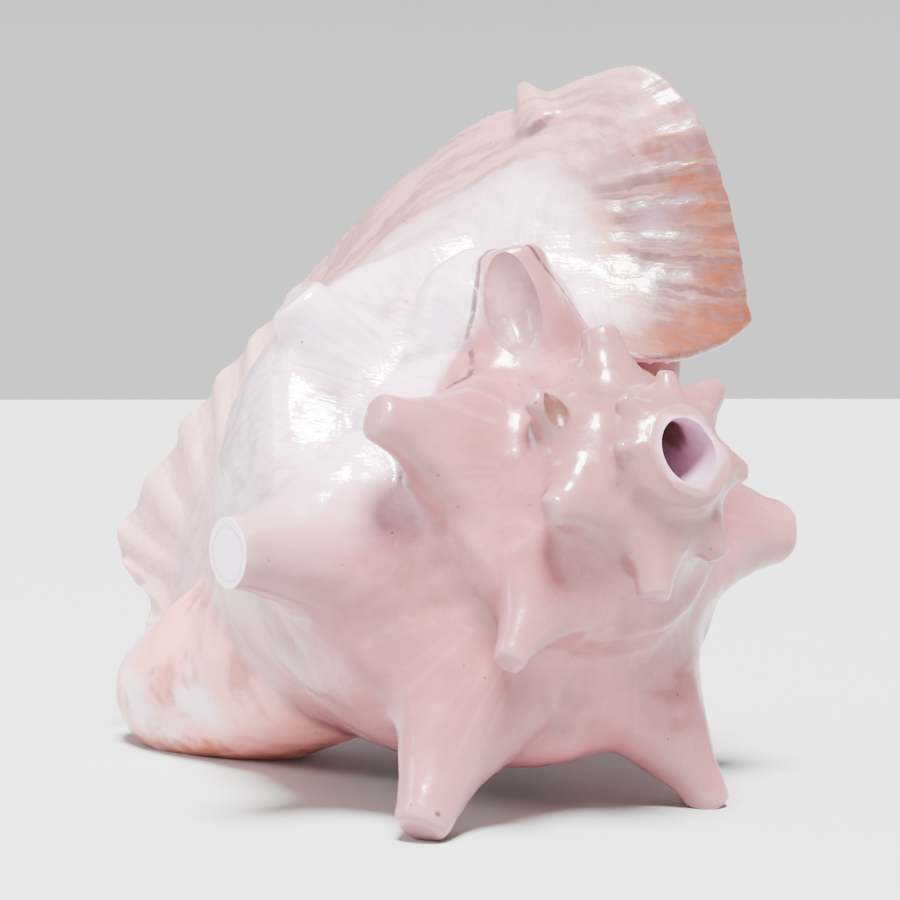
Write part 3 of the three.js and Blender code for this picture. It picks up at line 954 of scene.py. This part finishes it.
def mark_zones(body):
    """Cuts the crack's groove and keeps on every point how much it belongs to each colour zone."""
    points = points_of(body)
    edges = edges_of(body)
    kind, growth, place, lip_share, spine_share = fields_at(points)
    crack = crack_distance(body, points)
    groove = CRACK_DEPTH * np.exp(-(crack / CRACK_WIDTH) ** 2)
    set_points(body, points - normals_of(body) * groove[:, None])
    # How hollow each point lies, for the painted shade and grit in the hollows
    hollowness = ((neighbour_mean(points, edges) - points) * normals_of(body)).sum(axis=1)
    hollowness = soften(hollowness, edges, GRIT_AND_SHADE_SOFTENING)

    on_lip = mask(kind == LIP_OUTER)
    on_coil = mask(kind <= SPINE)
    frill = np.maximum(place / LAST_ROW - FRILL_FROM, 0) / (1 - FRILL_FROM)
    scar = mask(egg_distance(points, SCAR_CENTRE, SCAR_REACH, SCAR_ALONG) < EGG_FACE)
    speck = np.linalg.norm(points[:, None] - np.array(SPECKS)[None], axis=2).min(axis=1)
    from_axis = np.hypot(points[:, 0], points[:, 1])
    zones = {
        "bore": mask((points[:, 2] > BORE_DEPTH) & (from_axis < BORE_WALL)),
        "sawn": mask(points[:, 2] > SAWN_FROM),
        # Painted shade on the part of the wing facing away from the light
        "shaded_wing": on_lip * smoothstep(*SHADED_WING_PLACE, place) * smoothstep(*SHADED_WING_SHARE, lip_share),
        # Deeper pink on the spire, partly its own tone and partly painted shade
        "spire": smoothstep(*SPIRE_GROWTH, growth) * on_coil,
        "crack": np.minimum(crack, MARK_REACH * CRACK_WIDTH),
        "scar": scar,
        "rib": on_lip * smoothstep(*RIB_FRILL, frill) * smoothstep(*RIB_SHARE, lip_share),
        # Where the frill's ribs rise, for painted light on the crests and painted shade in the valleys
        "crest": (1 + np.sin(frill * FRILL_WAVES * 2 * math.pi)) / 2,
        "pit": mask(egg_distance(points, PIT_CENTRE, PIT_REACH, PIT_ALONG) < EGG_FACE),
        "speck": np.minimum(speck, MARK_REACH * SPECK_SIZE),
        # Painted shade and grit in the hollows of the coil
        "grit_and_hollow_shade": smoothstep(*GRIT_AND_SHADE_HOLLOWNESS, hollowness) * on_coil,
        "lip": on_lip,
        "inner": mask(kind == LIP_INNER),
        "canal": mask(kind == CANAL),
        "pearl": pearl_zones(kind, growth, place, lip_share) * (1 - scar),
        "stain": on_lip * stain_zones(place, lip_share),
        "line": on_lip * line_zone(place, lip_share),
        "lip_share": on_lip * lip_share,
        "place": place,
        "growth": growth / 360,
        "tip": mask(kind == SPINE) * spine_share,
    }
    for name, values in zones.items():
        layer = body.attributes.new(name, "FLOAT", "POINT")
        softened = soften(values, edges, ZONE_SOFTENING[name])
        layer.data.foreach_set("value", softened.astype(np.float32))


mark_zones(body)
body.transform(Matrix.Scale(MM, 4) @ pose)
body.shade_smooth()
body.set_sharp_from_angle(angle=SHARP_ANGLE)
shell = object_of("shell_surface", body)

material = bpy.data.materials.new("polished_shell")
material.use_nodes = True
nodes = material.node_tree.nodes
links = material.node_tree.links
principled = nodes["Principled BSDF"]


def feed(socket, value):
    if isinstance(value, bpy.types.NodeSocket):
        links.new(value, socket)
    else:
        socket.default_value = value


def zone(name):
    node = nodes.new("ShaderNodeAttribute")
    node.attribute_name = name
    return node.outputs["Fac"]


def number(operation, *values):
    node = nodes.new("ShaderNodeMath")
    node.operation = operation
    for socket, value in zip(node.inputs, values):
        feed(socket, value)
    return node.outputs["Value"]


def times(first, second):
    return number("MULTIPLY", first, second)


def plus(first, second):
    return number("ADD", first, second)


def without(value):
    return number("SUBTRACT", 1.0, value)


def ramp(value, low, high):
    """Nought below low, one above high and smooth between."""
    node = nodes.new("ShaderNodeMapRange")
    node.interpolation_type = "SMOOTHSTEP"
    feed(node.inputs["Value"], value)
    feed(node.inputs["From Min"], low)
    feed(node.inputs["From Max"], high)
    return node.outputs["Result"]


def blend(share, first, second):
    node = nodes.new("ShaderNodeMix")
    node.data_type = "RGBA"
    colours_in = [socket for socket in node.inputs if socket.type == "RGBA"]
    colours_out = [socket for socket in node.outputs if socket.type == "RGBA"]
    feed(node.inputs["Factor"], share)
    feed(colours_in[0], first)
    feed(colours_in[1], second)
    return colours_out[0]


def cloud(place, scale, detail, roughness):
    node = nodes.new("ShaderNodeTexNoise")
    feed(node.inputs["Vector"], place)
    feed(node.inputs["Scale"], scale)
    feed(node.inputs["Detail"], detail)
    feed(node.inputs["Roughness"], roughness)
    return node.outputs["Fac"]


def measure(operation, first, second):
    node = nodes.new("ShaderNodeVectorMath")
    node.operation = operation
    feed(node.inputs[0], first)
    feed(node.inputs[1], second)
    return node.outputs["Value"]


def grain(first, second, stretch, texture):
    """Noise drawn out along one of two ways over the surface."""
    node = nodes.new("ShaderNodeCombineXYZ")
    feed(node.inputs["X"], times(first, stretch[0]))
    feed(node.inputs["Y"], times(second, stretch[1]))
    return cloud(node.outputs["Vector"], 1.0, *texture)


where = nodes.new("ShaderNodeTexCoord").outputs["Object"]
place_zone = zone("place")
growth_zone = zone("growth")
share_zone = zone("lip_share")
lip_zone = zone("lip")
pearl_zone = zone("pearl")
tip_zone = zone("tip")
pit_zone = zone("pit")

# Streaks and threads follow the growth lines, arcs follow the lip's edge and cords run out to it
streak = grain(growth_zone, place_zone, STREAK_STRETCH, STREAK_GRAIN)
thread = grain(growth_zone, place_zone, THREAD_STRETCH, THREAD_GRAIN)
arc = grain(share_zone, place_zone, ARC_STRETCH, ARC_GRAIN)
cord_level = number("MULTIPLY_ADD", share_zone, CORD_SLANT, place_zone)
cord = grain(cord_level, share_zone, CORD_STRETCH, CORD_GRAIN)
mottle = cloud(where, *MOTTLE)
fine = cloud(where, *FINE)
broad = cloud(where, *BROAD)


def coil_colours():
    colour = blend(ramp(mottle, *PINK_MOTTLE), DEEP_PINK, PINK)
    colour = blend(times(ramp(streak, *STREAK_RANGE), STREAK_MOST), colour, PALE_PINK)
    # The spire gets a deeper pink, partly its own tone and partly painted shade
    colour = blend(times(zone("spire"), SPIRE_MOST), colour, SPIRE_PINK_AND_SHADE)
    return blend(times(ramp(tip_zone, *SPINE_TIP_RANGE), SPINE_TIP_MOST), colour, SPINE_CREAM)


def lip_colours():
    colour = blend(ramp(arc, *CREAM_ARC), GREY_CREAM, CREAM)
    colour = blend(times(ramp(mottle, *LIP_LAVENDER_MOTTLE), LIP_LAVENDER_MOST), colour, LAVENDER)
    colour = blend(times(ramp(arc, *TAN_ARC), TAN_MOST), colour, TAN)
    # Painted shade on the wing's far part: dark mauve with cream cords and lavender mottle
    shaded_wing = blend(ramp(cord, *WING_CORD), SHADED_MAUVE, SHADED_WING_CREAM)
    shaded_wing = blend(times(ramp(mottle, *WING_LAVENDER_MOTTLE), WING_LAVENDER_MOST), shaded_wing, LAVENDER)
    return blend(times(zone("shaded_wing"), SHADED_WING_MOST), colour, shaded_wing)


def rib_colours():
    # Crests lighter as painted light, valleys darker lavender as painted shade
    colour = blend(zone("crest"), SHADED_RIB_VALLEY, LIT_RIB_CREST)
    return blend(times(ramp(mottle, *RIB_PEACH_MOTTLE), RIB_PEACH_MOST), colour, RIB_PEACH)


def canal_colours():
    colour = blend(ramp(broad, *CANAL_WHITE), PEACH, WHITE)
    return blend(times(ramp(mottle, *CANAL_PATCH), CANAL_PATCH_MOST), colour, ORANGE_BROWN)


def with_flat_tip(colour):
    """The white worn flat at the tip of one spine, with faint rings of growth."""
    centre = (Matrix.Scale(MM, 4) @ pose) @ flat_pose.translation
    facing = (pose @ flat_pose).to_3x3() @ Vector((0, 0, 1))
    height = number("SUBTRACT", measure("DOT_PRODUCT", where, facing), centre.dot(facing))
    from_centre = measure("DISTANCE", where, centre)
    on_flat = number("GREATER_THAN", height, -FLAT_SKIN)
    on_flat = times(on_flat, number("LESS_THAN", from_centre, FLAT_REACH))
    ring = number("PINGPONG", plus(from_centre, times(fine, FLAT_RING_WOBBLE)), FLAT_RING)
    ring = times(without(ramp(ring, 0.0, FLAT_RING_WIDTH)), on_flat)
    colour = blend(on_flat, colour, FLAT_WHITE)
    return blend(times(ring, FLAT_RING_MOST), colour, SCAR_MAUVE)


# Darkens the hollows of the coil with painted shade and dirt, and scatters dark grit in them
def with_grit_and_hollow_shade(colour):
    grit_and_hollow_shade = zone("grit_and_hollow_shade")
    colour = blend(times(grit_and_hollow_shade, DIRT_AND_HOLLOW_SHADE_MOST), colour, DIRT_AND_HOLLOW_SHADE)
    grit = ramp(cloud(where, *GRIT), *GRIT_RANGE)
    grit = times(grit, times(grit_and_hollow_shade, ramp(mottle, *GRIT_MOTTLE)))
    return blend(times(grit, GRIT_MOST), colour, SPECK)


def with_openings(colour):
    colour = blend(zone("inner"), colour, INNER_PINK)
    colour = blend(zone("sawn"), colour, BEIGE)
    colour = blend(zone("bore"), colour, BORE_PINK)
    colour = blend(zone("scar"), colour, blend(ramp(mottle, *SCAR_MOTTLE), SCAR_MAUVE, PALE_PINK))
    # The pit is darkened with grit and painted shade
    return blend(times(pit_zone, ramp(fine, *PIT_FINE)), colour, PIT_GRIT_AND_SHADE)


def with_crack(colour):
    crack = times(without(ramp(zone("crack"), *CRACK_EDGE)), ramp(mottle, *CRACK_BREAKS))
    return blend(times(crack, CRACK_MOST), colour, CRACK)


def with_specks(colour):
    cells = nodes.new("ShaderNodeTexVoronoi")
    feed(cells.inputs["Vector"], where)
    feed(cells.inputs["Scale"], SPECK_SCALE)
    split = nodes.new("ShaderNodeSeparateColor")
    feed(split.inputs["Color"], cells.outputs["Color"])
    small = number("LESS_THAN", cells.outputs["Distance"], SPECK_REACH)
    small = times(small, number("GREATER_THAN", split.outputs["Red"], SPECK_RARITY))
    colour = blend(times(small, SMALL_SPECK_MOST), colour, SPECK)
    large = without(ramp(zone("speck"), SPECK_SIZE / 2, SPECK_SIZE))
    return blend(times(large, LARGE_SPECK_MOST), colour, SPECK)


def shell_colours():
    colour = blend(lip_zone, coil_colours(), lip_colours())
    patch = ramp(plus(thread, times(mottle, PEARL_MOTTLE)), *PEARL_PATCH)
    pearl = times(pearl_zone, number("MULTIPLY_ADD", patch, PEARL_PATCHY, PEARL_EVEN))
    colour = blend(pearl, colour, PEARL)
    stain_spread = ramp(plus(cord, times(fine, STAIN_FINE)), *STAIN_SPREAD)
    colour = blend(times(zone("stain"), stain_spread), colour, ORANGE)
    colour = blend(times(zone("rib"), RIB_MOST), colour, rib_colours())
    colour = blend(zone("canal"), colour, canal_colours())
    worn = number("MULTIPLY_ADD", pearl_zone, WORN_TIP_PEARL, WORN_TIP_LEAST)
    colour = blend(times(ramp(tip_zone, *WORN_TIP), worn), colour, WHITE)
    colour = with_flat_tip(colour)
    colour = blend(times(zone("line"), LINE_MOST), colour, TAN)
    for layer in (with_grit_and_hollow_shade, with_openings, with_crack, with_specks):
        colour = layer(colour)
    return colour


def shell_relief():
    """Fine cords, growth lines and the uneven polish."""
    relief = times(cord, times(lip_zone, CORD_RELIEF))
    relief = plus(relief, times(thread, times(pearl_zone, THREAD_RELIEF)))
    relief = plus(relief, times(streak, STREAK_RELIEF))
    relief = plus(relief, times(cloud(where, *POLISH), POLISH_RELIEF))
    relief = plus(relief, times(cloud(where, *SPARKLE), SPARKLE_RELIEF))
    bump = nodes.new("ShaderNodeBump")
    feed(bump.inputs["Strength"], RELIEF_STRENGTH)
    feed(bump.inputs["Distance"], RELIEF_HEIGHT)
    feed(bump.inputs["Height"], relief)
    return bump.outputs["Normal"]


coat = times(number("MULTIPLY_ADD", pearl_zone, COAT_PEARL, COAT_LEAST), without(pit_zone))
normal = shell_relief()
feed(principled.inputs["Base Color"], shell_colours())
feed(principled.inputs["Roughness"], ROUGHNESS)
feed(principled.inputs["Specular IOR Level"], SPECULAR_LEVEL)
feed(principled.inputs["Coat Weight"], coat)
feed(principled.inputs["Coat Roughness"], COAT_ROUGHNESS)
feed(principled.inputs["Normal"], normal)
feed(principled.inputs["Coat Normal"], normal)
body.materials.clear()
body.materials.append(material)

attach(shell, "root")
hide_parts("shell")


def make_floor():
    mesh = bpy.data.meshes.new("floor")
    corners = [(-1, -1), (1, -1), (1, 1), (-1, 1)]
    mesh.from_pydata([(x * FLOOR_REACH, y * FLOOR_REACH, 0) for x, y in corners], [], [(0, 1, 2, 3)])
    paint = bpy.data.materials.new("pale_floor")
    paint.use_nodes = True
    shader = paint.node_tree.nodes["Principled BSDF"]
    shader.inputs["Base Color"].default_value = FLOOR_COLOUR
    shader.inputs["Roughness"].default_value = FLOOR_ROUGHNESS
    mesh.materials.append(paint)
    return object_of("floor", mesh)


floor = make_floor()


def make_sky():
    """A plain studio room, lighter near the floor than overhead."""
    world = bpy.data.worlds.new("studio")
    bpy.context.scene.world = world
    world.use_nodes = True
    tree = world.node_tree
    background = tree.nodes["Background"]
    background.inputs["Color"].default_value = SKY_COLOUR
    direction = tree.nodes.new("ShaderNodeTexCoord").outputs["Generated"]
    split = tree.nodes.new("ShaderNodeSeparateXYZ")
    fall = tree.nodes.new("ShaderNodeMapRange")
    fall.inputs["From Min"].default_value, fall.inputs["From Max"].default_value = SKY_HEIGHT
    fall.inputs["To Min"].default_value, fall.inputs["To Max"].default_value = SKY_STRENGTH
    tree.links.new(direction, split.inputs["Vector"])
    tree.links.new(split.outputs["Z"], fall.inputs["Value"])
    tree.links.new(fall.outputs["Result"], background.inputs["Strength"])


view_right = Vector((math.cos(VIEW_AZIMUTH), math.sin(VIEW_AZIMUTH), 0))
view_back = Vector((
    math.sin(VIEW_AZIMUTH) * math.cos(VIEW_ELEVATION),
    -math.cos(VIEW_AZIMUTH) * math.cos(VIEW_ELEVATION),
    math.sin(VIEW_ELEVATION),
))
view_up = view_back.cross(view_right)


def seen(right, up, back):
    """A direction given as the viewer sees it."""
    return view_right * right + view_up * up + view_back * back


def facing(towards):
    return towards.to_track_quat("-Z", "Y").to_euler()


def make_lights():
    sun = bpy.data.lights.new("key", "SUN")
    sun.energy = SUN_STRENGTH
    sun.angle = SUN_ANGLE
    object_of("key", sun).rotation_euler = facing(-seen(*SUN_TOWARDS))
    side = bpy.data.lights.new("left", "AREA")
    side.size = SIDE_LIGHT_SIZE
    side.energy = SIDE_LIGHT_POWER
    side_holder = object_of("left", side)
    side_holder.location = Vector(LIGHT_TARGET) + seen(*SIDE_LIGHT_PLACE)
    side_holder.rotation_euler = facing(-seen(*SIDE_LIGHT_PLACE))


def make_camera():
    data = bpy.data.cameras.new("camera")
    data.lens = LENS
    data.sensor_width = SENSOR_WIDTH
    camera = object_of("camera", data)
    placing = Matrix((view_right, view_up, view_back)).transposed().to_4x4()
    placing.translation = Vector(MOUTH_PLACE) * MM + seen(-VIEW_ASIDE, 0, VIEW_DISTANCE)
    camera.matrix_world = placing
    bpy.context.scene.camera = camera


make_sky()
make_lights()
make_camera()
